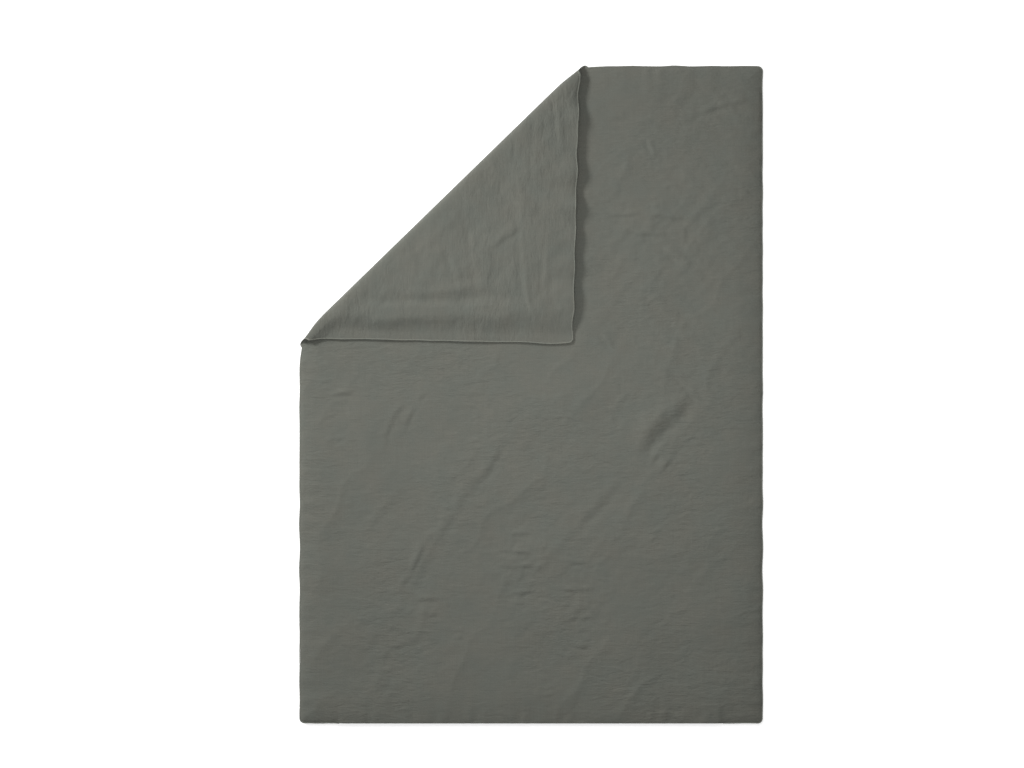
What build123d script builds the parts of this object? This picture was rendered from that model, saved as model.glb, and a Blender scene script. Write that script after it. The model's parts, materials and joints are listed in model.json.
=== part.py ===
from build123d import *

import math
import os

# A duvet in its cover, with the head corner on its left folded back over its face. It lies flat:
# +Y is the head end, +X its right side, +Z up. The origin is the middle of the footprint, on the
# surface that it lies on. Every length is in millimetres.
#
# From outside to inside: a cover of two panels with a zip in the foot seam, a stitched seam
# allowance, and an insert, which is a shell of two cloths held apart by baffles, with loose fill
# in each box between them. Ties in the cover's corners hold loops on the insert's corners.

# The whole duvet
WIDTH = 1550.0
LENGTH = 2200.0
LOFT = 32.0
EDGE_HEIGHT = 16.0
BORDER = 60.0
CORNER_RADIUS = 25.0

# The cloths
COVER_CLOTH = 0.8
INSERT_CLOTH = 0.5
COVER_SLACK = 0.2
BAFFLE_CLOTH = 0.6

# The fold: how far it starts from the folded corner, along the side and along the head edge
FOLD_SIDE_LEG = 910.0
FOLD_HEAD_LEG = 936.0
FOLD_HALF_GAP = 0.5

# The insert
INSERT_SIDE_ROOM = 8.0
INSERT_FOOT_ROOM = 20.0
INSERT_CORNER_RADIUS = 60.0
COLUMNS = 4
ROWS = 6
PIPING_DEPTH = 4.0
PIPING_HEIGHT = 3.0
PIPING_ROUNDING = 1.2

# The seams, corner loops, ties and label
SEAM_PLIES = 1.6
SEAM_HEIGHT = 6.0
LOOP_WIDTH = 12.0
LOOP_TAPE = 1.2
LOOP_NEAR = 20.2
LOOP_FAR = 50.0
TIE_NEAR = 11.2
TIE_FAR = 27.0
TIE_HEIGHT = 6.0
TIE_WIDTH = 2.0
LABEL_LENGTH = 50.0
LABEL_HEIGHT = 5.0
LABEL_CLOTH = 0.4
LABEL_Y = -875.0

# The zip: half lengths along the foot, heights above and below the seam, depths from the middle
ZIP_HALF_LENGTH = 650.0
ZIP_OPENING = 6.0
SEAM_END = 655.0
HEM_DEPTH_IN = 1086.0
COIL_FRONT = 1094.4
TAPE_FRONT = 1092.2
TAPE_CLOTH = 0.6
TAPE_INNER = 1.6
COIL_START = -616.0
COIL_END = 616.5
COIL_WIDTH = 2.2
COIL_HALF_GAP = 0.05
COIL_SPREAD = 1.45
COIL_LEAD_IN = 1.0
STOP_FRONT = 1094.6
STOP_LENGTH = 3.5
STOP_GRIP = 0.4
STOP_GAP = 0.15
STOP_RADIUS = 0.6
SLIDER_X = 610.0
SLIDER_LENGTH = 12.0
SLIDER_HALF_HEIGHT = 4.8
SLIDER_RADIUS = 1.5
SLIDER_PLATE = 1.2
SLIDER_FRONT = 1096.0
SLIDER_BACK = 1090.0
SLIDER_FLANGE_FRONT = 1092.7
SLIDER_FLANGE = 0.6
SLIDER_FLANGE_LENGTH = 9.0
DIVIDER_INSET = 1.0
DIVIDER_LENGTH = 4.0
DIVIDER_WIDTH = 2.2
BRIDGE_SPAN = 6.0
BRIDGE_BAR = 1.0
BRIDGE_WIDTH = 1.6
BRIDGE_RISE = 2.0
PULL_THICKNESS = 1.0
PULL_WIDTH = 6.0
PULL_LENGTH = 28.0
PULL_RADIUS = 0.9
PULL_EYE = (6.0, 3.6)

# Worked out from the above
MIDDLE = LOFT / 2
BORDER_SLOPE = (LOFT - EDGE_HEIGHT) / 2 / BORDER
BORDER_LEAN = math.tan(math.atan(BORDER_SLOPE) / 2)
COLUMN = WIDTH / COLUMNS
ROW = LENGTH / ROWS
FOOT = LENGTH / 2
REACH = 2 * LENGTH

FOLD_RUN = Vector(FOLD_HEAD_LEG, FOLD_SIDE_LEG, 0).normalized()
FOLD_INWARD = Vector(FOLD_RUN.Y, -FOLD_RUN.X, 0)
FOLD_POINT = Vector((FOLD_HEAD_LEG - WIDTH) / 2, (LENGTH - FOLD_SIDE_LEG) / 2, 0)
FOLD_PLANE = Plane(origin=FOLD_POINT, x_dir=FOLD_INWARD, z_dir=-FOLD_RUN)
FOLD_AXIS = Axis(FOLD_POINT + Vector(0, 0, LOFT + FOLD_HALF_GAP), -FOLD_RUN)
MAIN, CORNER = 1, -1

# A layer's outline: how far its edge stands in from the cover's edge at the sides and head, and at
# the foot, how far its faces stand in from the cover's faces, and the radius of its corners.
INSERT_SKIN = COVER_CLOTH + COVER_SLACK
COVER_OUTSIDE = (0.0, 0.0, 0.0, CORNER_RADIUS)
COVER_INSIDE = (COVER_CLOTH, COVER_CLOTH, COVER_CLOTH, CORNER_RADIUS - COVER_CLOTH)
INSERT_OUTSIDE = (INSERT_SIDE_ROOM, INSERT_FOOT_ROOM, INSERT_SKIN, INSERT_CORNER_RADIUS)
INSERT_INSIDE = tuple(
    room + change * INSERT_CLOTH for room, change in zip(INSERT_OUTSIDE, (1, 1, 1, -1))
)

# The duvet's four corners, as signs of X and Y; the folded one is the second group
MAIN_CORNERS = ((1, 1), (1, -1), (-1, -1))
FOLDED_CORNERS = ((-1, 1),)


def hand_over(piece, name):
    """Name a finished piece and write it."""
    piece.part.label = name
    export_step(piece.part, f"parts/{name}.step")


def slab(side, foot, skin, radius):
    """The duvet's flat form: full loft in the middle, borders that slope to a blunt edge."""
    crest_margin = BORDER + skin * BORDER_LEAN
    crest = LOFT - skin
    shoulder = crest - BORDER_SLOPE * (crest_margin - side)
    middle_outline = (WIDTH - 2 * crest_margin, LENGTH - 2 * crest_margin, 0.0)
    edge_outline = (WIDTH - 2 * side, LENGTH - side - foot, (foot - side) / 2)
    levels = (
        (LOFT - crest, middle_outline),
        (LOFT - shoulder, edge_outline),
        (shoulder, edge_outline),
        (crest, middle_outline),
    )
    with BuildPart() as form:
        for height, (width, length, shift) in levels:
            with BuildSketch(Plane.XY.offset(height)):
                with Locations((0, shift)):
                    RectangleRounded(width, length, radius)
        loft(ruled=True)
    return form.part


def fold_side(way, skin):
    """The space on one side of the fold, where a layer of this skin rolls up to the fold line."""
    nose = LOFT - skin
    centre = FOLD_HALF_GAP + LOFT
    near = FOLD_HALF_GAP + skin
    middle = nose * math.sqrt(0.5)
    with BuildPart() as space:
        with BuildSketch(FOLD_PLANE):
            with BuildLine():
                ThreePointArc(
                    (way * near, LOFT),
                    (way * (centre - middle), LOFT - middle),
                    (way * centre, skin),
                )
                Polyline(
                    (way * centre, skin),
                    (way * centre, -LOFT),
                    (way * REACH, -LOFT),
                    (way * REACH, 2 * LOFT),
                    (way * near, 2 * LOFT),
                    (way * near, LOFT),
                )
            make_face()
        extrude(amount=REACH, both=True)
    return space.part


def layer(way, outline):
    """A slab's part on one side of the fold."""
    with BuildPart() as piece:
        add(slab(*outline))
        add(fold_side(way, outline[2]), mode=Mode.INTERSECT)
    return piece.part


def skin_between(way, outside, inside):
    """A hollow skin between two layers, on one side of the fold."""
    with BuildPart() as piece:
        add(layer(way, outside))
        add(layer(way, inside), mode=Mode.SUBTRACT)
    return piece.part


def half_skin(way, outside, inside, keep):
    """The skin's upper or lower cloth. They meet half way up the edge."""
    with BuildPart() as piece:
        add(skin_between(way, outside, inside))
        split(bisect_by=Plane.XY.offset(MIDDLE), keep=keep)
    return piece.part


def ring(outside, inside, height):
    """A flat band round the edge between two outlines, centred half way up."""
    with BuildPart() as band:
        with BuildSketch(Plane.XY.offset(MIDDLE - height / 2)):
            for (side, foot, _, radius), mode in ((outside, Mode.ADD), (inside, Mode.SUBTRACT)):
                with Locations((0, (foot - side) / 2)):
                    RectangleRounded(WIDTH - 2 * side, LENGTH - side - foot, radius, mode=mode)
        extrude(amount=height)
    return band.part


def seam_ring():
    """The two plies turned in at the cover's seam, all round but for the zip."""
    inside = tuple(
        room + change * SEAM_PLIES for room, change in zip(COVER_INSIDE, (1, 1, 1, -1))
    )
    with BuildPart() as band:
        add(ring(COVER_INSIDE, inside, SEAM_HEIGHT))
        with BuildSketch(Plane.XY.offset(0)):
            with Locations((0, -FOOT)):
                Rectangle(2 * SEAM_END, 2 * CORNER_RADIUS)
        extrude(amount=LOFT, mode=Mode.SUBTRACT)
    return band.part


def piping_ring():
    """The corded binding round the insert's edge, with its outer edges rounded."""
    side, foot, skin, radius = INSERT_OUTSIDE
    outside = (side - PIPING_DEPTH, foot - PIPING_DEPTH, skin, radius + PIPING_DEPTH)
    with BuildPart() as band:
        with BuildSketch(Plane.XY.offset(MIDDLE - PIPING_HEIGHT / 2)):
            side_out, foot_out, _, radius_out = outside
            with Locations((0, (foot_out - side_out) / 2)):
                RectangleRounded(WIDTH - 2 * side_out, LENGTH - side_out - foot_out, radius_out)
        extrude(amount=PIPING_HEIGHT)
        rims = band.faces().filter_by(Axis.Z).edges()
        fillet(rims, radius=PIPING_ROUNDING)
        with BuildSketch(Plane.XY):
            with Locations((0, (foot - side) / 2)):
                RectangleRounded(WIDTH - 2 * side, LENGTH - side - foot, radius)
        extrude(amount=LOFT, mode=Mode.SUBTRACT)
    return band.part


def on_side(solid, way, skin):
    """The part of a solid on one side of the fold."""
    with BuildPart() as piece:
        add(solid)
        add(fold_side(way, skin), mode=Mode.INTERSECT)
    return piece.part


def baffle_plates(columns, rows):
    """Upright sheets through the insert, across its columns or across its rows."""
    with BuildPart() as plates:
        if columns:
            with GridLocations(COLUMN, 0, COLUMNS - 1, 1):
                Box(BAFFLE_CLOTH, LENGTH, 2 * LOFT)
        if rows:
            with GridLocations(0, ROW, 1, ROWS - 1):
                Box(WIDTH, BAFFLE_CLOTH, 2 * LOFT)
    return plates.part


def corner_plane(sign_x, sign_y, upright):
    """A plane at a corner of the cover, its X running inward along the diagonal."""
    inward = Vector(-sign_x, -sign_y, 0).normalized()
    up = Vector(0, 0, 1)
    return Plane(
        origin=(sign_x * WIDTH / 2, sign_y * LENGTH / 2, MIDDLE),
        x_dir=inward,
        z_dir=inward.cross(up) if upright else up,
    )


def corner_loops(corners):
    """Flat tape loops on the insert's corners."""
    length = LOOP_FAR - LOOP_NEAR
    with BuildPart() as loops:
        for corner in corners:
            with BuildSketch(corner_plane(*corner, upright=False)):
                with Locations(((LOOP_NEAR + LOOP_FAR) / 2, 0)):
                    SlotOverall(length, LOOP_WIDTH)
                    SlotOverall(
                        length - 2 * LOOP_TAPE, LOOP_WIDTH - 2 * LOOP_TAPE, mode=Mode.SUBTRACT
                    )
            extrude(amount=LOOP_TAPE / 2, both=True)
        add(piping_ring(), mode=Mode.SUBTRACT)
        with BuildSketch(Plane.XY):
            side, foot, _, radius = INSERT_OUTSIDE
            with Locations((0, (foot - side) / 2)):
                RectangleRounded(WIDTH - 2 * side, LENGTH - side - foot, radius)
        extrude(amount=LOFT, mode=Mode.SUBTRACT)
    return loops.part


def corner_ties(corners):
    """Tape ties in the cover's corners, each through the insert's loop."""
    length = TIE_FAR - TIE_NEAR
    with BuildPart() as ties:
        for corner in corners:
            with BuildSketch(corner_plane(*corner, upright=True)):
                with Locations(((TIE_NEAR + TIE_FAR) / 2, 0)):
                    SlotOverall(length, TIE_HEIGHT)
                    SlotOverall(
                        length - 2 * LOOP_TAPE, TIE_HEIGHT - 2 * LOOP_TAPE, mode=Mode.SUBTRACT
                    )
            extrude(amount=TIE_WIDTH / 2, both=True)
        add(seam_ring(), mode=Mode.SUBTRACT)
    return ties.part


def along_foot(depth):
    """A plane across the foot end, this far from the duvet's middle: X along, Y up."""
    return Plane.XZ.offset(depth)


def foot_block(low, high, front, back):
    """A straight bar in the foot seam, between two corners in X and Z and two depths."""
    with BuildPart() as block:
        with BuildSketch(along_foot(back)):
            with Locations(((low[0] + high[0]) / 2, (low[1] + high[1]) / 2)):
                Rectangle(high[0] - low[0], high[1] - low[1])
        extrude(amount=front - back)
    return block.part


def about_seam(sign, near, far):
    """A height range above or below the zip's line, lowest first."""
    return sorted((MIDDLE + sign * near, MIDDLE + sign * far))


os.makedirs("parts", exist_ok=True)

# --- The cover ---


def cover_panel(way, keep):
    """One cloth panel of the cover. The zip's opening is cut from the foot seam."""
    with BuildPart() as panel:
        add(half_skin(way, COVER_OUTSIDE, COVER_INSIDE, keep))
        if way == MAIN:
            with BuildSketch(along_foot(FOOT - 2 * COVER_CLOTH)):
                with Locations((0, MIDDLE)):
                    Rectangle(2 * ZIP_HALF_LENGTH, 2 * ZIP_OPENING)
            extrude(amount=4 * COVER_CLOTH, mode=Mode.SUBTRACT)
    return panel.part


with BuildPart() as cover_top_panel:
    add(cover_panel(MAIN, Keep.TOP))
hand_over(cover_top_panel, "cover_top_panel")

with BuildPart() as cover_bottom_panel:
    add(cover_panel(MAIN, Keep.BOTTOM))
hand_over(cover_bottom_panel, "cover_bottom_panel")

with BuildPart() as corner_cover_top_panel:
    add(cover_panel(CORNER, Keep.TOP).rotate(FOLD_AXIS, 180))
hand_over(corner_cover_top_panel, "corner_cover_top_panel")

with BuildPart() as corner_cover_bottom_panel:
    add(cover_panel(CORNER, Keep.BOTTOM).rotate(FOLD_AXIS, 180))
hand_over(corner_cover_bottom_panel, "corner_cover_bottom_panel")

# --- The cover's seam allowance, ties and label ---

SEAM_CLEAR = COVER_CLOTH + SEAM_PLIES

with BuildPart() as cover_seam_allowance:
    add(on_side(seam_ring(), MAIN, SEAM_CLEAR))
hand_over(cover_seam_allowance, "cover_seam_allowance")

with BuildPart() as corner_seam_allowance:
    add(on_side(seam_ring(), CORNER, SEAM_CLEAR).rotate(FOLD_AXIS, 180))
hand_over(corner_seam_allowance, "corner_seam_allowance")

with BuildPart() as cover_corner_ties:
    add(corner_ties(MAIN_CORNERS))
hand_over(cover_corner_ties, "cover_corner_ties")

with BuildPart() as corner_tie:
    add(corner_ties(FOLDED_CORNERS).rotate(FOLD_AXIS, 180))
hand_over(corner_tie, "corner_tie")

with BuildPart() as care_label:
    with BuildSketch(Plane.YZ.offset(-WIDTH / 2 + SEAM_CLEAR)):
        with Locations((LABEL_Y, MIDDLE)):
            Rectangle(LABEL_LENGTH, LABEL_HEIGHT)
    extrude(amount=LABEL_CLOTH)
hand_over(care_label, "care_label")

# --- The insert ---


def insert_panel(way, keep):
    """One cloth of the insert's shell."""
    return half_skin(way, INSERT_OUTSIDE, INSERT_INSIDE, keep)


def baffles(way, columns, rows):
    """The baffles that fit inside the shell on one side of the fold."""
    with BuildPart() as sheets:
        add(baffle_plates(columns, rows))
        if not columns:
            add(baffle_plates(True, False), mode=Mode.SUBTRACT)
        add(layer(way, INSERT_INSIDE), mode=Mode.INTERSECT)
    return sheets.part


def fill_between(way, first_row, last_row):
    """The fill in every box of these rows. Row 0 is at the foot."""
    low = -FOOT + first_row * ROW
    high = -FOOT + (last_row + 1) * ROW
    with BuildPart() as fill:
        with BuildSketch(Plane.XY):
            with Locations((0, (low + high) / 2)):
                Rectangle(WIDTH, high - low)
        extrude(amount=LOFT)
        add(baffle_plates(True, True), mode=Mode.SUBTRACT)
        add(layer(way, INSERT_INSIDE), mode=Mode.INTERSECT)
    return fill.part


with BuildPart() as insert_top_shell:
    add(insert_panel(MAIN, Keep.TOP))
hand_over(insert_top_shell, "insert_top_shell")

with BuildPart() as insert_bottom_shell:
    add(insert_panel(MAIN, Keep.BOTTOM))
hand_over(insert_bottom_shell, "insert_bottom_shell")

with BuildPart() as corner_insert_top_shell:
    add(insert_panel(CORNER, Keep.TOP).rotate(FOLD_AXIS, 180))
hand_over(corner_insert_top_shell, "corner_insert_top_shell")

with BuildPart() as corner_insert_bottom_shell:
    add(insert_panel(CORNER, Keep.BOTTOM).rotate(FOLD_AXIS, 180))
hand_over(corner_insert_bottom_shell, "corner_insert_bottom_shell")

with BuildPart() as insert_baffles_long:
    add(baffles(MAIN, columns=True, rows=False))
hand_over(insert_baffles_long, "insert_baffles_long")

with BuildPart() as insert_baffles_cross:
    add(baffles(MAIN, columns=False, rows=True))
hand_over(insert_baffles_cross, "insert_baffles_cross")

with BuildPart() as corner_baffles:
    add(baffles(CORNER, columns=True, rows=True).rotate(FOLD_AXIS, 180))
hand_over(corner_baffles, "corner_baffles")

for row in range(ROWS):
    with BuildPart() as fill_row:
        add(fill_between(MAIN, row, row))
    hand_over(fill_row, f"insert_fill_row_{row + 1}")

with BuildPart() as corner_fill:
    add(fill_between(CORNER, 0, ROWS - 1).rotate(FOLD_AXIS, 180))
hand_over(corner_fill, "corner_fill")

with BuildPart() as insert_edge_piping:
    add(on_side(piping_ring(), MAIN, PIPING_DEPTH))
hand_over(insert_edge_piping, "insert_edge_piping")

with BuildPart() as corner_edge_piping:
    add(on_side(piping_ring(), CORNER, PIPING_DEPTH).rotate(FOLD_AXIS, 180))
hand_over(corner_edge_piping, "corner_edge_piping")

with BuildPart() as insert_corner_loops:
    add(corner_loops(MAIN_CORNERS))
hand_over(insert_corner_loops, "insert_corner_loops")

with BuildPart() as corner_loop:
    add(corner_loops(FOLDED_CORNERS).rotate(FOLD_AXIS, 180))
hand_over(corner_loop, "corner_loop")

# --- The zip in the foot seam: hems, tapes, coils and stops ---


def foot_hem(sign):
    """The cover's cloth turned in at the zip's opening."""
    low, high = about_seam(sign, ZIP_OPENING, ZIP_OPENING + COVER_CLOTH)
    return foot_block(
        (-ZIP_HALF_LENGTH, low), (ZIP_HALF_LENGTH, high), FOOT - COVER_CLOTH, HEM_DEPTH_IN
    )


def zip_tape(sign):
    """A woven tape: upright where it carries the coil, turned in where it is sewn to the hem."""
    low, high = about_seam(sign, TAPE_INNER, ZIP_OPENING)
    flange_low, flange_high = about_seam(sign, ZIP_OPENING - TAPE_CLOTH, ZIP_OPENING)
    with BuildPart() as tape:
        add(
            foot_block(
                (-ZIP_HALF_LENGTH, low),
                (ZIP_HALF_LENGTH, high),
                TAPE_FRONT,
                TAPE_FRONT - TAPE_CLOTH,
            )
        )
        add(
            foot_block(
                (-ZIP_HALF_LENGTH, flange_low),
                (ZIP_HALF_LENGTH, flange_high),
                TAPE_FRONT,
                HEM_DEPTH_IN,
            )
        )
    return tape.part


def zip_coil(sign):
    """Half of the closed coil. It parts from the other half inside the slider."""
    near = COIL_HALF_GAP
    parting = SLIDER_X - SLIDER_LENGTH / 2 - COIL_LEAD_IN
    parted = SLIDER_X - COIL_LEAD_IN
    line = [(COIL_START, near), (parting, near), (parted, near + COIL_SPREAD)]
    line.append((COIL_END, near + COIL_SPREAD))
    outline = line + [(x, height + COIL_WIDTH) for x, height in reversed(line)]
    with BuildPart() as coil:
        with BuildSketch(along_foot(TAPE_FRONT)):
            with BuildLine():
                Polyline(*[(x, MIDDLE + sign * height) for x, height in outline], close=True)
            make_face()
        extrude(amount=COIL_FRONT - TAPE_FRONT)
    return coil.part


for side_name, sign in (("top", 1), ("bottom", -1)):
    with BuildPart() as hem:
        add(foot_hem(sign))
    hand_over(hem, f"cover_foot_hem_{side_name}")

    with BuildPart() as tape:
        add(zip_tape(sign))
    hand_over(tape, f"zip_tape_{side_name}")

    with BuildPart() as coil:
        add(zip_coil(sign))
    hand_over(coil, f"zip_coil_{side_name}")

with BuildPart() as zip_bottom_stop:
    stop_half = COIL_WIDTH + STOP_GRIP
    with BuildSketch(along_foot(TAPE_FRONT)):
        with Locations((COIL_START - STOP_LENGTH / 2, MIDDLE)):
            RectangleRounded(STOP_LENGTH, 2 * stop_half, STOP_RADIUS)
    extrude(amount=STOP_FRONT - TAPE_FRONT)
hand_over(zip_bottom_stop, "zip_bottom_stop")

with BuildPart() as zip_top_stops:
    with BuildSketch(along_foot(TAPE_FRONT)):
        with Locations((COIL_END + STOP_LENGTH / 2, MIDDLE)):
            with GridLocations(0, 2 * (COIL_SPREAD + COIL_WIDTH / 2 + STOP_GAP), 1, 2):
                RectangleRounded(STOP_LENGTH, COIL_WIDTH, STOP_RADIUS)
    extrude(amount=STOP_FRONT - TAPE_FRONT)
hand_over(zip_top_stops, "zip_top_stops")

# --- The slider: two plates joined by the divider that parts the coils, and a bridge ---

with BuildPart() as zip_slider_body:
    for inner_depth, outer_depth in (
        (SLIDER_FRONT - SLIDER_PLATE, SLIDER_FRONT),
        (SLIDER_BACK, SLIDER_BACK + SLIDER_PLATE),
    ):
        with BuildSketch(along_foot(inner_depth)):
            with Locations((SLIDER_X, MIDDLE)):
                RectangleRounded(SLIDER_LENGTH, 2 * SLIDER_HALF_HEIGHT, SLIDER_RADIUS)
        extrude(amount=outer_depth - inner_depth)
    with BuildSketch(along_foot(SLIDER_FLANGE_FRONT)):
        with Locations((SLIDER_X, MIDDLE)):
            with GridLocations(0, 2 * SLIDER_HALF_HEIGHT - SLIDER_FLANGE, 1, 2):
                Rectangle(SLIDER_FLANGE_LENGTH, SLIDER_FLANGE)
    extrude(amount=SLIDER_FRONT - SLIDER_PLATE - SLIDER_FLANGE_FRONT)
    with BuildSketch(along_foot(SLIDER_BACK + SLIDER_PLATE)):
        divider_x = SLIDER_X + SLIDER_LENGTH / 2 - DIVIDER_INSET - DIVIDER_LENGTH / 2
        with Locations((divider_x, MIDDLE)):
            SlotOverall(DIVIDER_LENGTH, DIVIDER_WIDTH)
    extrude(amount=SLIDER_FRONT - SLIDER_BACK - 2 * SLIDER_PLATE)
    with BuildSketch(along_foot(SLIDER_FRONT)):
        with Locations((SLIDER_X, MIDDLE)):
            with GridLocations(BRIDGE_SPAN - BRIDGE_BAR, 0, 2, 1):
                Rectangle(BRIDGE_BAR, BRIDGE_WIDTH)
    extrude(amount=BRIDGE_RISE)
    with BuildSketch(along_foot(SLIDER_FRONT + BRIDGE_RISE)):
        with Locations((SLIDER_X, MIDDLE)):
            Rectangle(BRIDGE_SPAN, BRIDGE_WIDTH)
    extrude(amount=BRIDGE_BAR)
hand_over(zip_slider_body, "zip_slider_body")

# --- The pull tab: its near end passes under the bridge and turns there ---

with BuildPart() as zip_pull_tab:
    pin_depth = SLIDER_FRONT + BRIDGE_RISE / 2
    with BuildSketch(along_foot(pin_depth - PULL_THICKNESS / 2)):
        with Locations((SLIDER_X + PULL_THICKNESS / 2 - PULL_LENGTH / 2, MIDDLE)):
            RectangleRounded(PULL_LENGTH, PULL_WIDTH, PULL_RADIUS)
        with Locations((SLIDER_X - PULL_THICKNESS / 2 - PULL_EYE[0] / 2, MIDDLE)):
            Rectangle(*PULL_EYE, mode=Mode.SUBTRACT)
    extrude(amount=PULL_THICKNESS)
hand_over(zip_pull_tab, "zip_pull_tab")
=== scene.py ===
import json
import math

import bmesh
import bpy
import numpy as np
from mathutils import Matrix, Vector


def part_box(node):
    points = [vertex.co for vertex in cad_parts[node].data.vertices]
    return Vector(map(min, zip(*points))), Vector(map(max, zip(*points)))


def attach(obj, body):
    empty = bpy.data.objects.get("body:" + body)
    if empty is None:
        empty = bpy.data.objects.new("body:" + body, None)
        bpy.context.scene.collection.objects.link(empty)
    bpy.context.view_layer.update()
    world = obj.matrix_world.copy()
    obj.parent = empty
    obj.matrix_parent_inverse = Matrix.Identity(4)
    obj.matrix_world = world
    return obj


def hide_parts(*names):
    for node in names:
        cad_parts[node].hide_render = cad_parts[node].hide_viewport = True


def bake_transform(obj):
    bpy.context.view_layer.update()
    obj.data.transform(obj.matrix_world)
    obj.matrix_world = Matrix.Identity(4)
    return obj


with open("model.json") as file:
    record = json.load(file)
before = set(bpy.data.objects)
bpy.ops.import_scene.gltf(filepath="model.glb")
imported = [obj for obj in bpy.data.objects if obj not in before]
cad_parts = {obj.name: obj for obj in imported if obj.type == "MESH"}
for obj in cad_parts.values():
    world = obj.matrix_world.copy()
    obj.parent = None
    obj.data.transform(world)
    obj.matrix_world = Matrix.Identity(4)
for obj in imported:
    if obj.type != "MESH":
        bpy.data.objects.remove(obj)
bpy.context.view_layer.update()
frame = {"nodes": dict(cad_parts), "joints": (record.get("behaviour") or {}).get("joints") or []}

# A duvet in a linen cover, one head corner folded back over its face. The cloths are made laid
# flat, as they are cut, then folded by the same rule for every layer. Lengths are metres, in the
# frame's axes.

# --- Sizes that the frame gives ---
HALF_WIDTH, HALF_LENGTH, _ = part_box("cover_bottom_panel")[1]
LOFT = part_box("cover_top_panel")[1].z
MIDDLE = LOFT / 2
FOLD_JOINT = next(joint for joint in frame["joints"] if joint["name"] == "corner_fold")
HINGE = np.array(FOLD_JOINT["pos_m"])
RUN = -np.array(FOLD_JOINT["axis"])
INWARD = np.array([RUN[1], -RUN[0], 0.0])
ZIP_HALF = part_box("zip_tape_top")[1].x
INSERT_LOW, INSERT_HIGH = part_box("insert_bottom_shell")
INSERT_HALF_WIDTH = INSERT_HIGH.x
INSERT_HALF_LENGTH = (INSERT_HIGH.y - INSERT_LOW.y) / 2
INSERT_CENTRE = (INSERT_HIGH.y + INSERT_LOW.y) / 2

# --- Sizes of the cloths ---
CORNER_RADIUS = 0.014
LIP = 0.003  # the seam's rim, outside the panels
SEAM_HALF = 0.0010  # half the seam's thickness
ZIP_LIP = 0.0074  # how far a hem stands from the zip's middle line
FACE_FULL = 0.0308  # the face's height where the duvet is full
BACK_FULL = 0.0010  # and the back's
FACE_BORDER = 0.105  # how far in from the seam each becomes full
BACK_BORDER = 0.065
SEAM_DROP = 0.0088  # how much nearer the back the seam lies on the corner
RIM_OUT, RIM_UP = 0.0022, 0.0014  # the rim's half sizes
CELL = 0.006  # the cover's mesh

# --- Sizes of the fold ---
FOLD_SQUARENESS = 0.68  # 1 makes a round roll, 0 a square one
TIP_REACH = 0.652  # from the fold line to the corner's tip
ROLL_END = 0.42  # the share of the roll that each half of an inner layer takes
END_PULLS = (0.013, 0.008)  # how far in the fold's side end and head end are drawn
TIP_STRETCH = (0.004, 0.007)
FLAP_DROOP = 0.0235  # how far the corner's lower edge sinks to the face

# --- Sizes of the insert ---
QUILT_ROOM = 0.006  # from the insert's outline in the frame to its quilted edge
INSERT_RADIUS = 0.060
PIPING_RADIUS = 0.0013
COLUMNS, ROWS = 4, 6

# --- Sizes of the zip, as depths in from the foot edge ---
COIL_FRONT, COIL_BACK = 0.0057, 0.0077
STITCH_DEPTH = 0.0065
COIL_PITCH, COIL_THREAD = 0.0016, 0.00036
COIL_APART = 0.00145
STITCH_PITCH, STITCH_HALF, STITCH_THREAD = 0.0040, 0.0014, 0.00032


def unit(angle_degrees):
    angle = math.radians(angle_degrees)
    return math.cos(angle), math.sin(angle)


def smooth(t):
    t = np.clip(t, 0.0, 1.0)
    return t * t * (3 - 2 * t)


# --- Noise and creases, as heights over the laid-out cloth ---


def waves(x, y, seed, shortest, longest, heading=0.0, spread=180.0, count=24):
    """Random plane waves added up: a smooth height from about -1 to 1. Heading is across them."""
    random = np.random.default_rng(seed)
    total = np.zeros_like(x)
    for _ in range(count):
        length = shortest * (longest / shortest) ** random.random()
        along_x, along_y = unit(heading + spread * (random.random() - 0.5))
        phase = 2 * math.pi * random.random()
        total += np.sin(2 * math.pi * (x * along_x + y * along_y) / length + phase)
    return total / math.sqrt(2 * count)


def ridges(x, y, seed, shortest, longest, heading, spread, sharpness=3.0):
    """Narrow creases along the zero lines of a random height, from 0 to 1."""
    drift_x = 0.03 * waves(x, y, seed + 1, 0.15, 0.4)
    drift_y = 0.03 * waves(x, y, seed + 2, 0.15, 0.4)
    height = waves(x + drift_x, y + drift_y, seed, shortest, longest, heading, spread)
    return np.exp(-np.abs(height) * sharpness)


def crease(x, y, start, end, width, height, bow=0.0, wander=0.0):
    """One crease between two places given as shares of the half width and half length. It is a
    rounded ridge with a sharper valley beside it, and fades towards both ends. Wander is how
    far it strays from its line at each place."""
    ax, ay = start[0] * HALF_WIDTH, start[1] * HALF_LENGTH
    bx, by = end[0] * HALF_WIDTH, end[1] * HALF_LENGTH
    long = math.hypot(bx - ax, by - ay)
    tx, ty = (bx - ax) / long, (by - ay) / long
    along = ((x - ax) * tx + (y - ay) * ty) / long
    aside = (y - ay) * tx - (x - ax) * ty - bow * long * 4 * along * (1 - along)
    aside += wander * min(1.0, long / 0.3)
    fade = smooth(along / 0.35) * smooth((1 - along) / 0.35)
    ridge = np.exp(-((aside / width) ** 2))
    valley = np.exp(-(((aside + 1.3 * width) / (0.7 * width)) ** 2))
    return height * fade * (ridge - 0.8 * valley)


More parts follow.
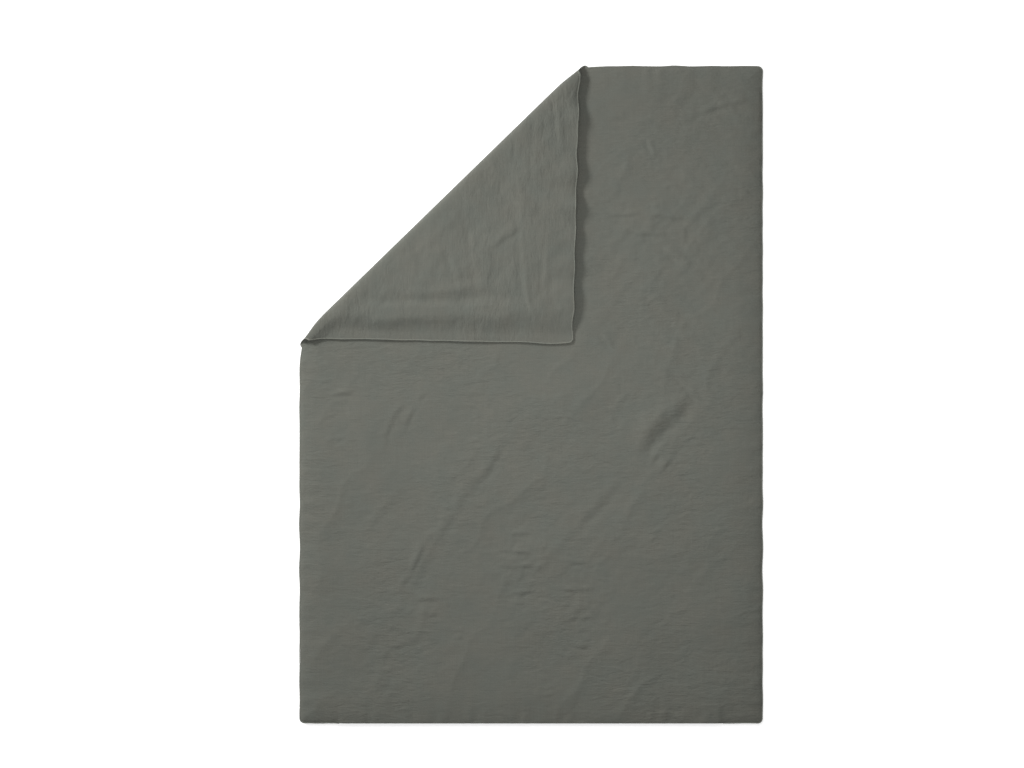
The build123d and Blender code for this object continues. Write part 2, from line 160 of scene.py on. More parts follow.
def settled_cloth():
    """A cloth a little too large for the space between its seams, let fall and settle by
    simulation, so that it buckles into creases. Gives its heights over the seams, in rows."""
    cell, frames, growth = 0.014, 26, 0.010
    columns, rows = round(2 * HALF_WIDTH / cell), round(2 * HALF_LENGTH / cell)
    x, y = grid_places(HALF_WIDTH, HALF_LENGTH, columns, rows)
    start = 0.004 + 0.0015 * waves(x, y, 91, 0.05, 0.15, 90, 110, 60)
    start += 0.001 * waves(x, y, 92, 0.15, 0.4, 60, 180, 40)
    cloth = new_piece("settling", np.column_stack([x, y, start]), grid_faces(columns, rows))
    edge = (np.abs(x) > HALF_WIDTH - 1e-6) | (np.abs(y) > HALF_LENGTH - 1e-6)
    held = cloth.vertex_groups.new(name="seams")
    held.add(np.flatnonzero(edge).tolist(), 1.0, "REPLACE")
    bed = new_piece("bed", [(-2, -2, 0), (2, -2, 0), (2, 2, 0), (-2, 2, 0)], [(0, 1, 2, 3)])
    bed.modifiers.new("collision", "COLLISION")
    bed.collision.thickness_outer = 0.002
    bed.collision.cloth_friction = 20
    modifier = cloth.modifiers.new("cloth", "CLOTH")
    linen_settings = {
        "vertex_group_mass": "seams",
        "quality": 4,
        "mass": 0.02,
        "tension_stiffness": 40,
        "compression_stiffness": 40,
        "shear_stiffness": 12,
        "bending_stiffness": 0.05,
        "bending_damping": 0.5,
        "shrink_min": -growth,
        "shrink_max": -growth,
    }
    for key, value in linen_settings.items():
        setattr(modifier.settings, key, value)
    modifier.collision_settings.distance_min = 0.001
    modifier.collision_settings.use_self_collision = False
    modifier.point_cache.frame_start = 1
    modifier.point_cache.frame_end = frames
    for moment in range(1, frames + 1):
        bpy.context.scene.frame_set(moment)
    settled = cloth.evaluated_get(bpy.context.evaluated_depsgraph_get())
    heights = coordinates(settled)[:, 2].reshape(rows + 1, columns + 1)
    for done in (cloth, bed):
        mesh = done.data
        bpy.data.objects.remove(done)
        bpy.data.meshes.remove(mesh)
    bpy.context.scene.frame_set(1)
    return heights - heights.mean()


def crumple(x, y):
    """The settled cloth's height over its mean at these places."""
    rows, columns = SETTLED.shape
    across = np.clip((x / HALF_WIDTH + 1) / 2, 0, 1) * (columns - 1.001)
    along = np.clip((y / HALF_LENGTH + 1) / 2, 0, 1) * (rows - 1.001)
    i, j = across.astype(int), along.astype(int)
    a, b = smooth(across - i), smooth(along - j)
    low = SETTLED[j, i] * (1 - a) + SETTLED[j, i + 1] * a
    high = SETTLED[j + 1, i] * (1 - a) + SETTLED[j + 1, i + 1] * a
    return low * (1 - b) + high * b


# Creases on the face: start, end, width, height and bow, as crease() takes them
FACE_CREASES = (
    ((-0.66, -0.19), (-0.54, 0.00), 0.012, 0.0010, 0.05),
    ((-0.58, -0.14), (-0.44, 0.03), 0.010, 0.0009, 0.04),
    ((-0.26, -0.28), (-0.13, -0.14), 0.015, 0.0013, -0.05),
    ((-0.58, -0.62), (-0.42, -0.40), 0.012, 0.0014, 0.03),
    ((-0.62, -0.70), (-0.08, -0.08), 0.024, 0.0010, 0.03),
    ((0.10, -0.44), (0.40, -0.22), 0.024, 0.0014, -0.03),
    ((0.42, -0.18), (0.70, 0.01), 0.032, 0.0040, 0.05),
    ((0.54, -0.25), (0.66, -0.14), 0.010, 0.0012, 0.04),
    ((0.50, -0.22), (0.60, -0.13), 0.009, 0.0009, 0.02),
    ((0.30, 0.19), (0.36, 0.14), 0.008, 0.0020, 0.0),
    ((0.58, 0.10), (0.74, -0.04), 0.010, 0.0014, 0.05),
    ((0.28, 0.55), (0.72, 0.53), 0.011, 0.0018, 0.04),
    ((0.32, 0.51), (0.62, 0.49), 0.009, 0.0014, -0.03),
    ((0.56, 0.45), (0.68, 0.38), 0.010, 0.0018, 0.08),
    ((0.50, 0.78), (0.54, 0.72), 0.008, 0.0016, 0.0),
    ((0.66, 0.84), (0.98, 0.90), 0.012, 0.0016, 0.05),
    ((0.30, 0.86), (0.60, 0.80), 0.012, 0.0014, 0.05),
    ((-0.12, -0.42), (0.02, -0.42), 0.008, 0.0018, 0.02),
    ((-0.14, -0.47), (0.00, -0.475), 0.007, 0.0018, -0.02),
    ((-0.12, -0.52), (0.02, -0.52), 0.008, 0.0016, 0.03),
    ((-0.10, -0.60), (0.04, -0.595), 0.008, 0.0014, -0.02),
    ((-0.52, -0.62), (-0.36, -0.62), 0.009, 0.0014, 0.02),
    ((-0.50, -0.66), (-0.38, -0.67), 0.007, 0.0012, 0.02),
    ((0.14, -0.51), (0.26, -0.51), 0.007, 0.0014, 0.02),
    ((0.12, -0.59), (0.28, -0.585), 0.008, 0.0016, -0.02),
    ((0.14, -0.68), (0.28, -0.675), 0.008, 0.0016, 0.03),
    ((0.15, -0.75), (0.25, -0.77), 0.007, 0.0014, 0.0),
    ((-0.88, 0.00), (-0.76, 0.01), 0.008, 0.0014, 0.02),
    ((-0.90, -0.14), (-0.80, -0.13), 0.008, 0.0012, 0.02),
)

# Creases on the corner's visible side, where they lie when it is folded
FLAP_CREASES = (
    ((-0.05, 0.62), (-0.03, 0.22), 0.014, 0.0018, 0.02),
    ((0.10, 0.92), (0.13, 0.74), 0.010, 0.0016, 0.03),
    ((0.04, 0.88), (0.02, 0.62), 0.012, 0.0012, -0.02),
    ((-0.02, 0.37), (0.02, 0.22), 0.008, 0.0024, -0.10),
    ((-0.18, 0.44), (-0.02, 0.52), 0.012, 0.0016, 0.05),
    ((0.10, 0.266), (-0.84, 0.252), 0.030, 0.0050, 0.015),
    ((-0.14, 0.345), (-0.58, 0.300), 0.020, 0.0016, 0.03),
    ((-0.36, 0.46), (-0.30, 0.28), 0.012, 0.0014, 0.04),
    ((-0.26, 0.52), (-0.22, 0.34), 0.011, 0.0013, -0.03),
    ((0.06, 0.50), (0.05, 0.26), 0.010, 0.0012, 0.02),
)

# Where the face's fine creases crowd together: place, reach and strength
CREASED_PLACES = (
    ((-0.05, -0.50), (0.16, 0.16), 1.0),
    ((0.22, -0.62), (0.14, 0.18), 0.9),
    ((-0.46, -0.63), (0.20, 0.07), 0.8),
    ((0.60, 0.50), (0.34, 0.28), 0.9),
    ((0.62, 0.20), (0.26, 0.16), 0.7),
    ((0.80, 0.86), (0.25, 0.10), 0.7),
    ((-0.80, -0.06), (0.16, 0.16), 0.6),
    ((-0.05, -0.25), (0.3, 0.12), 0.35),
)


def creased(x, y):
    """How much of the fine creasing a place on the face has, from 0.1 to 1."""
    much = 0.10 + 0.30 * smooth(0.5 + waves(x, y, 19, 0.3, 0.8))
    for (px, py), (rx, ry), strength in CREASED_PLACES:
        off = ((x / HALF_WIDTH - px) / rx) ** 2 + ((y / HALF_LENGTH - py) / ry) ** 2
        much = np.maximum(much, strength * np.exp(-off))
    return much


def inside_distance(x, y, half_width, half_length, radius):
    """How far a place is inside a rectangle with round corners."""
    qx = np.abs(x) - (half_width - radius)
    qy = np.abs(y) - (half_length - radius)
    outside = np.hypot(np.maximum(qx, 0), np.maximum(qy, 0))
    return radius - outside - np.minimum(np.maximum(qx, qy), 0)


def edge_distance(x, y):
    """How far a place is from the duvet's outline."""
    return inside_distance(x, y, HALF_WIDTH, HALF_LENGTH, CORNER_RADIUS + LIP)


def across_fold(x, y):
    """How far a place is from the fold line, positive on the side that stays."""
    return (x - HINGE[0]) * INWARD[0] + (y - HINGE[1]) * INWARD[1]


def under_flap(x, y):
    """1 where the folded corner lies on the face, and on that corner itself; 0 elsewhere."""
    across = np.abs(across_fold(x, y))
    mirrored_x = x - 2 * np.maximum(across_fold(x, y), 0) * INWARD[0]
    mirrored_y = y - 2 * np.maximum(across_fold(x, y), 0) * INWARD[1]
    inside = np.minimum(mirrored_x + HALF_WIDTH, HALF_LENGTH - mirrored_y)
    return smooth(inside / 0.05 + 1.0) * smooth(2.0 - across / 0.6)


def loft_shape(distance, border):
    """How full the duvet is at a distance from its seam, from 0 to 1."""
    t = np.clip(distance / border, 0.0, 1.0)
    return (1 - (1 - t) ** 2) ** 0.62


def seam_puckers(x, y, distance, seed):
    """Short gathers that run in from the seams."""
    nearer_side = (HALF_WIDTH - np.abs(x)) < (HALF_LENGTH - np.abs(y))
    along = np.where(nearer_side, y + 3.0 * np.sign(x), x + 7.0 * np.sign(y))
    still = np.zeros_like(along)
    gathers = waves(along, still, seed, 0.035, 0.10, 0.0, 0.0)
    swell = waves(along, still, seed + 1, 0.12, 0.35, 0.0, 0.0)
    near = np.exp(-distance / 0.045) * (1 - np.exp(-distance / 0.006))
    return near * (0.0016 * gathers + 0.0012 * swell)


def zip_part(x, y, further=0.0):
    """1 along the zip's opening in the foot seam, 0 elsewhere."""
    return smooth((ZIP_HALF + further - np.abs(x)) / 0.025) * (y < 0)


def opening(x, y):
    """How far a panel's edge stands from the seam's middle, which is further along the zip."""
    return SEAM_HALF + (ZIP_LIP - SEAM_HALF) * zip_part(x, y)


def face_relief(x, y):
    """The face's unevenness: broad swells, soft diagonal folds and fine creases along the weft."""
    calm = 1 - 0.75 * under_flap(x, y)
    swell = 0.0020 * waves(x, y, 11, 0.20, 0.6)
    patches = smooth(0.5 + 0.9 * waves(x, y, 12, 0.3, 0.6))
    diagonal = 0.0024 * patches * ridges(x, y, 13, 0.22, 0.5, -35.0, 50.0)
    fine = waves(x, y, 17, 0.018, 0.036, 90.0, 36.0, 60)
    short = waves(x, y, 18, 0.05, 0.14, 0.0, 60.0, 40)
    weft = 0.0011 * np.maximum(fine * smooth(0.5 + short) - 0.35, 0)
    height = swell + diagonal + creased(x, y) * (3.0 * weft + 0.60 * crumple(x, y))
    # the creases stray a little from their lines, and rise unevenly along them
    wander = 0.0035 * waves(x, y, 61, 0.06, 0.16)
    uneven = 2.0 * smooth(0.75 + 0.5 * waves(x, y, 62, 0.05, 0.15))
    for start, end, width, rise, bow in FACE_CREASES:
        height += uneven * crease(x, y, start, end, 1.1 * width, rise, bow, wander)
    return calm * height


def back_relief(x, y):
    """The back's unevenness, which shows on the folded corner. Here up is into the duvet."""
    corner = smooth(-across_fold(x, y) / 0.05 + 0.5)
    swell = 0.0026 * waves(x, y, 31, 0.14, 0.4)
    weft = 0.0007 * ridges(x, y, 32, 0.06, 0.16, 90.0, 44.0, 2.0)
    soft = 0.0010 * waves(x, y, 36, 0.07, 0.16, 90.0, 80.0)
    diagonal = 0.0016 * ridges(x, y, 35, 0.25, 0.5, 30.0, 60.0)
    fine = 0.0005 * np.maximum(waves(x, y, 37, 0.018, 0.040, 90.0, 40.0, 60) - 0.3, 0)
    turned = 0.34 * crumple(-x, y - 0.8)
    height = 0.0012 + swell + soft + weft + diagonal + fine + turned
    across = across_fold(x, y)
    seen_x, seen_y = x - 2 * across * INWARD[0], y - 2 * across * INWARD[1]
    wander = 0.004 * waves(x, y, 63, 0.06, 0.18)
    for start, end, width, rise, bow in FLAP_CREASES:
        height -= 1.5 * crease(seen_x, seen_y, start, end, width, rise, bow, wander)
    return corner * height


def seam_level(x, y):
    """The seam's height when laid flat. On the corner it lies nearer the back."""
    return MIDDLE - SEAM_DROP * smooth(-across_fold(x, y) / 0.12)


def laid_face(x, y):
    """The face's height when the duvet is laid flat."""
    distance = np.maximum(edge_distance(x, y) - LIP, 0)
    start = seam_level(x, y) + opening(x, y)
    full = loft_shape(distance, FACE_BORDER)
    height = start + (FACE_FULL - start) * full
    height += full * face_relief(x, y) + seam_puckers(x, y, distance, 21)
    near_fold = np.exp(-((across_fold(x, y) / 0.03) ** 2))
    ceiling = HINGE[2] - 0.0008
    return np.minimum(height, ceiling + (1 - near_fold) * (1 - under_flap(x, y)) * 0.01)


def laid_back(x, y):
    """The back's height when the duvet is laid flat."""
    distance = np.maximum(edge_distance(x, y) - LIP, 0)
    start = seam_level(x, y) - opening(x, y)
    full = loft_shape(distance, BACK_BORDER)
    height = start - (start - BACK_FULL) * full
    height += full * back_relief(x, y) + 0.7 * seam_puckers(x, y, distance, 24)
    return np.maximum(height, 0.0004)


def wavy_outline(x, y):
    """Moves a laid place in or out with the outline's slight waves, most at the edge."""
    distance = np.maximum(edge_distance(x, y), 0)
    reach = np.exp(-distance / 0.05)
    wave_x = 0.0011 * waves(y, 0 * y, 41, 0.07, 0.22, 0.0, 0.0)
    wave_y = 0.0011 * waves(x, 0 * x, 43, 0.07, 0.22, 0.0, 0.0)
    side = np.exp(-(HALF_WIDTH - np.abs(x)) / 0.05)
    end = np.exp(-(HALF_LENGTH - np.abs(y)) / 0.05)
    return x + reach * side * wave_x, y + reach * end * wave_y * (1 - zip_part(x, y))


# --- The fold ---


def fold_ends():
    """The fold's two ends, where its line meets the side and the head edge."""
    side = HINGE[:2] - RUN[:2] * (HINGE[0] + HALF_WIDTH) / RUN[0]
    head = HINGE[:2] + RUN[:2] * (HALF_LENGTH - HINGE[1]) / RUN[1]
    return side, head


def folded(points, inset, end=None, corner=False):
    """Where laid places are with the corner folded over, and each one's share of the turn.

    A layer at a depth below the hinge line rolls round a squarish half circle of that reach, whose
    outermost line is the fold line, and goes on above the face as its mirror image. A layer
    inside the cover keeps inset from that line. A piece that ends at the fold stops rolling at
    end, a share of the turn, or on the corner at as much before its end."""
    rise = HINGE[2] - points[:, 2]
    depth = np.maximum(rise, 1e-5)
    across = across_fold(points[:, 0], points[:, 1])
    turn = np.arccos(np.clip(across / depth, -1.0, 1.0))
    if end is not None:
        turn = np.maximum(turn, math.pi * (1 - end)) if corner else np.minimum(turn, math.pi * end)
    out_share = np.sin(turn) ** FOLD_SQUARENESS
    up_share = -np.sign(np.cos(turn)) * np.abs(np.cos(turn)) ** FOLD_SQUARENESS
    rolls = np.abs(across) < depth
    rolled = np.where(rolls, depth - (depth - inset) * out_share, np.abs(across))
    height = HINGE[2] + np.where(rolls, depth * up_share, -np.sign(across) * rise)
    placed = points + (rolled - across)[:, None] * INWARD
    placed[:, 2] = height
    return soften_fold(placed, points), turn / math.pi


def soften_fold(placed, laid):
    """Rounds the fold's ends, and lets the corner's free edges wave and settle on the face."""
    out = placed.copy()
    for end, pull in zip(fold_ends(), END_PULLS):
        off = np.hypot(placed[:, 0] - end[0], placed[:, 1] - end[1])
        out[:, :2] += (pull * np.exp(-((off / 0.058) ** 2)))[:, None] * INWARD[:2]
    x, y = laid[:, 0], laid[:, 1]
    on_corner = smooth(-across_fold(x, y) / 0.10)
    side_room = HALF_WIDTH + x
    head_room = HALF_LENGTH - y
    # the corner's tip reaches a little further than a straight mirror image
    tip_share = np.clip(-across_fold(x, y) / TIP_REACH, 0, 1.2)
    out[:, :2] += (tip_share * on_corner)[:, None] * np.array(TIP_STRETCH)
    # Its head edge and its side edge wave and droop. The cloth next to the face stays where it
    # is, and what is above it sinks towards it.
    above = np.clip((placed[:, 2] - HINGE[2]) / LOFT, 0, 1)
    head_edge = np.exp(-head_room / 0.070) * on_corner
    side_end = fold_ends()[0][1]
    towards_tip = np.clip((y - side_end) / (HALF_LENGTH - side_end), 0, 1)
    slope = 0.056 + 0.045 * towards_tip ** 2 + 0.010 * waves(y, 0 * y, 55, 0.12, 0.4, 0.0, 0.0, 8)
    side_edge = 0.77 * (1 - smooth((side_room - 0.022) / slope)) + 0.23 * np.exp(-side_room / 0.13)
    side_edge *= smooth(-across_fold(x, y) / 0.07)
    head_wave = waves(x, 0 * x, 51, 0.09, 0.16, 0.0, 0.0, 6)
    side_wave = waves(y, 0 * y, 53, 0.16, 0.32, 0.0, 0.0, 6)
    out[:, 0] += 0.0030 * head_edge * waves(x, 0 * x, 52, 0.10, 0.20, 0.0, 0.0, 6)
    out[:, 1] += 0.0012 * side_edge * waves(y, 0 * y, 54, 0.15, 0.35, 0.0, 0.0, 6)
    out[:, 2] += above * head_edge * (0.0055 * head_wave - 0.002)
    out[:, 2] += above * side_edge * (0.0020 * side_wave - FLAP_DROOP)
    return out


def bend_with_fold(piece, laid, inset=0.0):
    """Folds a piece given laid flat."""
    placed, share = folded(laid, inset)
    t = 0.5 - np.sin(np.arcsin(np.clip(1 - 2 * share, -1, 1)) / 3)
    ruler = np.zeros_like(placed)
    ruler[:, 0] = t
    piece.data.vertices.foreach_set("co", ruler.astype(np.float32).ravel())
    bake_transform(piece)
    piece.data.vertices.foreach_set("co", placed.astype(np.float32).ravel())
    piece.data.update()


# --- Meshes ---


def new_piece(name, vertices, faces):
    mesh = bpy.data.meshes.new(name)
    mesh.from_pydata([tuple(v) for v in vertices], [], [tuple(f) for f in faces])
    mesh.update()
    piece = bpy.data.objects.new(name, mesh)
    bpy.context.scene.collection.objects.link(piece)
    return piece


def coordinates(piece):
    flat = np.zeros(len(piece.data.vertices) * 3)
    piece.data.vertices.foreach_get("co", flat)
    return flat.reshape(-1, 3)


def grid_places(half_width, half_length, columns, rows):
    """The places of a grid of (columns + 1) by (rows + 1) points, row after row."""
    u, v = np.meshgrid(
        np.linspace(-half_width, half_width, columns + 1),
        np.linspace(-half_length, half_length, rows + 1),
    )
    return u.ravel(), v.ravel()


def grid_faces(columns, rows, first=0, flip=False):
    """The quads of such a grid."""
    i, j = np.meshgrid(np.arange(columns), np.arange(rows))
    low = first + (j * (columns + 1) + i).ravel()
    quad = np.stack([low, low + 1, low + columns + 2, low + columns + 1], axis=1)
    return quad[:, ::-1] if flip else quad


def rounded_plan(u, v, half_width, half_length, radius):
    """Takes a rectangular grid's places into an outline with round corners."""
    qx = np.maximum(np.abs(u) - (half_width - radius), 0)
    qy = np.maximum(np.abs(v) - (half_length - radius), 0)
    reach = np.hypot(qx, qy)
    scale = np.where(reach > 0, np.maximum(qx, qy) / np.maximum(reach, 1e-9), 1.0)
    x = np.sign(u) * (np.minimum(np.abs(u), half_width - radius) + qx * scale)
    y = np.sign(v) * (np.minimum(np.abs(v), half_length - radius) + qy * scale)
    return x, y


def cut_near_fold(piece, offsets):
    """Adds edges parallel to the fold, so that the cloth can roll there."""
    work = bmesh.new()
    work.from_mesh(piece.data)
    for offset in offsets:
        place = HINGE + offset * INWARD
        bmesh.ops.bisect_plane(
            work,
            geom=work.verts[:] + work.edges[:] + work.faces[:],
            dist=1e-5,
            plane_co=(place[0], place[1], 0),
            plane_no=tuple(INWARD),
        )
    work.to_mesh(piece.data)
    work.free()


def map_cloth(piece, uv):
    """Gives each vertex its place on the cloth, in metres."""
    layer = piece.data.uv_layers.new(name="cloth")
    index = np.zeros(len(piece.data.loops), np.int32)
    piece.data.loops.foreach_get("vertex_index", index)
    layer.data.foreach_set("uv", uv[index].astype(np.float32).ravel())


def cloth_coordinates(piece, laid, rolls, shift):
    """Maps a folded cloth from where it was laid. One that rolls round the fold is longer."""
    across = across_fold(laid[:, 0], laid[:, 1])
    depth = np.maximum(HINGE[2] - laid[:, 2], 1e-5) if rolls else np.full(len(laid), 1e-5)
    reach = np.clip(across / depth, -1, 1)
    extra = depth * np.arcsin(reach) - depth * reach
    map_cloth(piece, laid[:, :2] + extra[:, None] * INWARD[:2] + np.array(shift))


def complete(piece, material, slot, *nodes):
    """Shades a piece smoothly, gives it its surface, and hides the frame's nodes that it stands for.
    Its slot is not used.
    """
    piece.data.polygons.foreach_set("use_smooth", [True] * len(piece.data.polygons))
    dress(piece, material)
    if nodes:
        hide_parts(*nodes)


def cover_cloth(name, height_of, offsets, rolls, shift, flip, inset=0.0):
    """One panel of the cover, folded."""
    half_width = HALF_WIDTH - LIP
    half_length = HALF_LENGTH - LIP
    columns = round(2 * half_width / CELL)
    rows = round(2 * half_length / CELL)
    u, v = grid_places(half_width, half_length, columns, rows)
    x, y = rounded_plan(u, v, half_width, half_length, CORNER_RADIUS)
    y -= (LIP - 0.0006) * zip_part(x, y, 0.012) * np.exp(-(HALF_LENGTH + y) / 0.03)
    flat = np.stack([x, y, np.zeros_like(x)], axis=1)
    piece = new_piece(name, flat, grid_faces(columns, rows, flip=flip))
    cut_near_fold(piece, offsets)
    flat = coordinates(piece)
    laid = flat.copy()
    laid[:, 2] = height_of(flat[:, 0], flat[:, 1])
    laid[:, 0], laid[:, 1] = wavy_outline(flat[:, 0], flat[:, 1])
    cloth_coordinates(piece, laid, rolls, shift)
    distance = edge_distance(flat[:, 0], flat[:, 1]) - LIP
    bend_with_fold(piece, laid, inset * smooth(distance / 0.02))
    return piece


def tube_faces(rings, sides, closed=False):
    """The quads between neighbouring rings of points, ring after ring."""
    i, k = np.meshgrid(np.arange(rings if closed else rings - 1), np.arange(sides), indexing="ij")
    j, m = (i + 1) % rings, (k + 1) % sides
    corners = [i * sides + k, i * sides + m, j * sides + m, j * sides + k]
    return np.stack(corners, axis=-1).reshape(-1, 4)


def sweep(path, section):
    """Vertices and faces of a section, (out, up) pairs, carried along a path in plan."""
    ahead = np.roll(path, -1, axis=0) - np.roll(path, 1, axis=0)
    ahead[0] = path[1] - path[0]
    ahead[-1] = path[-1] - path[-2]
    ahead /= np.linalg.norm(ahead, axis=1)[:, None]
    out = np.stack([ahead[:, 1], -ahead[:, 0], np.zeros(len(path))], axis=1)
    out /= np.linalg.norm(out, axis=1)[:, None]
    rings = [path + out * a + np.array([0, 0, b]) for a, b in section]
    vertices = np.stack(rings, axis=1).reshape(-1, 3)
    first_end = range(len(section))
    last_end = range(len(vertices) - 1, len(vertices) - len(section) - 1, -1)
    return vertices, [*tube_faces(len(path), len(section)), first_end, last_end]


def many_tubes(name, vertices):
    """A piece of many like tubes, from an array of each tube's rings of places."""
    count, rings, sides, _ = vertices.shape
    first = np.arange(count) * rings * sides
    faces = (first[:, None, None] + tube_faces(rings, sides)).reshape(-1, 4)
    return new_piece(name, vertices.reshape(-1, 3), faces)


# --- Materials ---


class Shader:
    """A node material, built link by link."""

    def __init__(self, name):
        self.material = bpy.data.materials.new(name)
        self.material.use_nodes = True
        self.nodes = self.material.node_tree.nodes
        self.links = self.material.node_tree.links
        self.surface = self.nodes["Principled BSDF"]

    def node(self, kind, inputs=(), **settings):
        made = self.nodes.new(kind)
        for key, value in settings.items():
            setattr(made, key, value)
        for key, value in dict(inputs).items():
            self.feed(made.inputs[key], value)
        return made

    def feed(self, socket, value):
        if isinstance(value, bpy.types.NodeSocket):
            self.links.new(value, socket)
        else:
            socket.default_value = value

    def math(self, operation, a, b=0.0):
        return self.node("ShaderNodeMath", {0: a, 1: b}, operation=operation).outputs[0]

    def place(self, source, scale, rotation=0.0):
        inputs = {"Vector": source, "Scale": scale, "Rotation": (0, 0, math.radians(rotation))}
        return self.node("ShaderNodeMapping", inputs).outputs[0]

    def noise(self, vector, scale, detail=2.0, roughness=0.5, distortion=0.0):
        inputs = {
            "Vector": vector,
            "Scale": scale,
            "Detail": detail,
            "Roughness": roughness,
            "Distortion": distortion,
        }
        return self.node("ShaderNodeTexNoise", inputs).outputs[0]

    def spread(self, value, low, high, to_low=0.0, to_high=1.0):
        inputs = {0: value, 1: low, 2: high, 3: to_low, 4: to_high}
        return self.node("ShaderNodeMapRange", inputs, clamp=True).outputs[0]

    def mix(self, share, a, b, blend_type="MIX"):
        made = self.node("ShaderNodeMix", data_type="RGBA", blend_type=blend_type)
        self.feed(made.inputs[0], share)
        self.feed(made.inputs[6], a)
        self.feed(made.inputs[7], b)
        return made.outputs[2]

    def grey(self, value):
        return self.node("ShaderNodeCombineColor", {0: value, 1: value, 2: value}).outputs[0]

    def bump(self, height, distance, strength=1.0, below=None):
        inputs = {"Height": height, "Distance": distance, "Strength": strength}
        made = self.node("ShaderNodeBump", inputs)
        if below is not None:
            self.links.new(below, made.inputs["Normal"])
        return made.outputs[0]

    def finish(self, color, roughness, normal, **uniform):
        self.feed(self.surface.inputs["Base Color"], color)
        self.feed(self.surface.inputs["Roughness"], roughness)
        if normal is not None:
            self.links.new(normal, self.surface.inputs["Normal"])
        for key, value in uniform.items():
            self.surface.inputs[key.replace("_", " ")].default_value = value
        return self.material


def shade(color, factor=1.0, lift=0.0):
    """The colour made lighter or darker, with its alpha."""
    return tuple(min(1.0, c * factor + lift) for c in color) + (1.0,)


def linen(name, color):
    """Plain-woven linen: uneven threads both ways, slubs along the weft and fine crumpling."""
    shader = Shader(name)
    thread = 0.0011
    cloth = shader.node("ShaderNodeUVMap", uv_map="cloth").outputs[0]
    weft_slub = shader.noise(shader.place(cloth, (9, 330, 1)), 1.0, 3.0, 0.6)
    warp_slub = shader.noise(shader.place(cloth, (300, 7, 1)), 1.0, 3.0, 0.6)
    mottle = shader.noise(cloth, 9.0, 4.0, 0.6)
    drift = shader.noise(shader.place(cloth, (6, 40, 1)), 1.0, 2.0)
    wander = shader.math("MULTIPLY", drift, 0.5 * thread)
    apart = shader.node("ShaderNodeSeparateXYZ", {0: cloth}).outputs
    turn = 2 * math.pi / thread
    warp = shader.math("SINE", shader.math("MULTIPLY", shader.math("ADD", apart[0], wander), turn))
    weft = shader.math("SINE", shader.math("MULTIPLY", shader.math("ADD", apart[1], wander), turn))
    weave = shader.math("MULTIPLY", warp, weft)
    crumple = shader.noise(shader.place(cloth, (14, 34, 1)), 1.0, 4.0, 0.55, 0.6)
    calm = shader.spread(shader.noise(cloth, 2.6, 2.0), 0.38, 0.62, 0.30, 1.0)
    slight = shader.noise(shader.place(cloth, (36, 120, 1)), 1.0, 3.0, 0.55, 0.4)
    slight = shader.math("MULTIPLY", shader.math("SUBTRACT", slight, 0.5), calm)
    fuzz = shader.noise(cloth, 700.0, 2.0)
    light, dark = shade(color, 1.16), shade(color, 0.84)
    streak = shader.spread(weft_slub, 0.25, 0.75)
    tone = shader.mix(streak, dark, light)
    upright = shader.mix(shader.spread(warp_slub, 0.3, 0.7), dark, light)
    tone = shader.mix(0.36, tone, upright)
    tone = shader.mix(0.42, tone, shade(color))
    cool = (color[0] * 0.93, color[1], color[2] * 1.03, 1.0)
    tone = shader.mix(shader.spread(mottle, 0.35, 0.65, 0.0, 0.6), tone, cool)
    # Painted shade and light: the colour follows the slight relief, darker in its hollows and
    # lighter on its rises.
    relief_shade = shader.spread(slight, -0.25, 0.25, 0.945, 1.055)
    tone = shader.mix(1.0, tone, shader.grey(relief_shade), "MULTIPLY")
    gaps = shader.spread(weave, -1.0, 1.0, 0.90, 1.06)
    tone = shader.mix(1.0, tone, shader.grey(gaps), "MULTIPLY")
    crumple = shader.math("MULTIPLY", shader.math("SUBTRACT", crumple, 0.5), calm)
    normal = shader.bump(crumple, 0.0050)
    normal = shader.bump(slight, 0.0018, 1.0, normal)
    normal = shader.bump(weft_slub, 0.0005, 0.9, normal)
    normal = shader.bump(warp_slub, 0.0003, 0.7, normal)
    normal = shader.bump(weave, 0.00012, 0.7, normal)
    normal = shader.bump(fuzz, 0.0001, 0.5, normal)
    roughness = shader.spread(mottle, 0.3, 0.7, 0.82, 0.94)
    return shader.finish(
        tone, roughness, normal, Sheen_Weight=0.12, Sheen_Roughness=0.5, Specular_IOR_Level=0.22
    )


def woven(name, color, thread, vary=0.08, sheen=0.1):
    """A plain close weave mapped from the object's own axes, for tapes and the insert."""
    shader = Shader(name)
    place = shader.node("ShaderNodeTexCoord").outputs["Object"]
    apart = shader.node("ShaderNodeSeparateXYZ", {0: place}).outputs
    turn = 2 * math.pi / thread
    sines = [shader.math("SINE", shader.math("MULTIPLY", part, turn)) for part in apart]
    weave = shader.math("MULTIPLY", sines[0], shader.math("ADD", sines[1], sines[2]))
    slub = shader.noise(shader.place(place, (20, 250, 250)), 1.0, 3.0, 0.6)
    mottle = shader.noise(place, 30.0, 4.0, 0.6)
    streak = shader.spread(slub, 0.3, 0.7)
    tone = shader.mix(streak, shade(color, 1 - vary), shade(color, 1 + vary))
    normal = shader.bump(weave, 0.2 * thread, 0.6)
    normal = shader.bump(slub, 0.0003, 0.6, normal)
    roughness = shader.spread(mottle, 0.3, 0.7, 0.75, 0.92)
    return shader.finish(tone, roughness, normal, Sheen_Weight=sheen, Specular_IOR_Level=0.3)


def lacquered(name, color):
    """Lacquered metal, lightly scuffed."""
    shader = Shader(name)
    place = shader.node("ShaderNodeTexCoord").outputs["Object"]
    scuffs = shader.noise(shader.place(place, (900, 300, 300)), 1.0, 5.0, 0.7)
    grain = shader.noise(place, 2500.0, 2.0)
    worn = shader.spread(scuffs, 0.58, 0.72, 0.0, 0.8)
    tone = shader.mix(worn, shade(color), shade(color, 1.7, 0.02))
    normal = shader.bump(grain, 0.00004, 0.5)
    roughness = shader.spread(scuffs, 0.3, 0.7, 0.28, 0.46)
    return shader.finish(tone, roughness, normal, Metallic=0.6, Specular_IOR_Level=0.5)


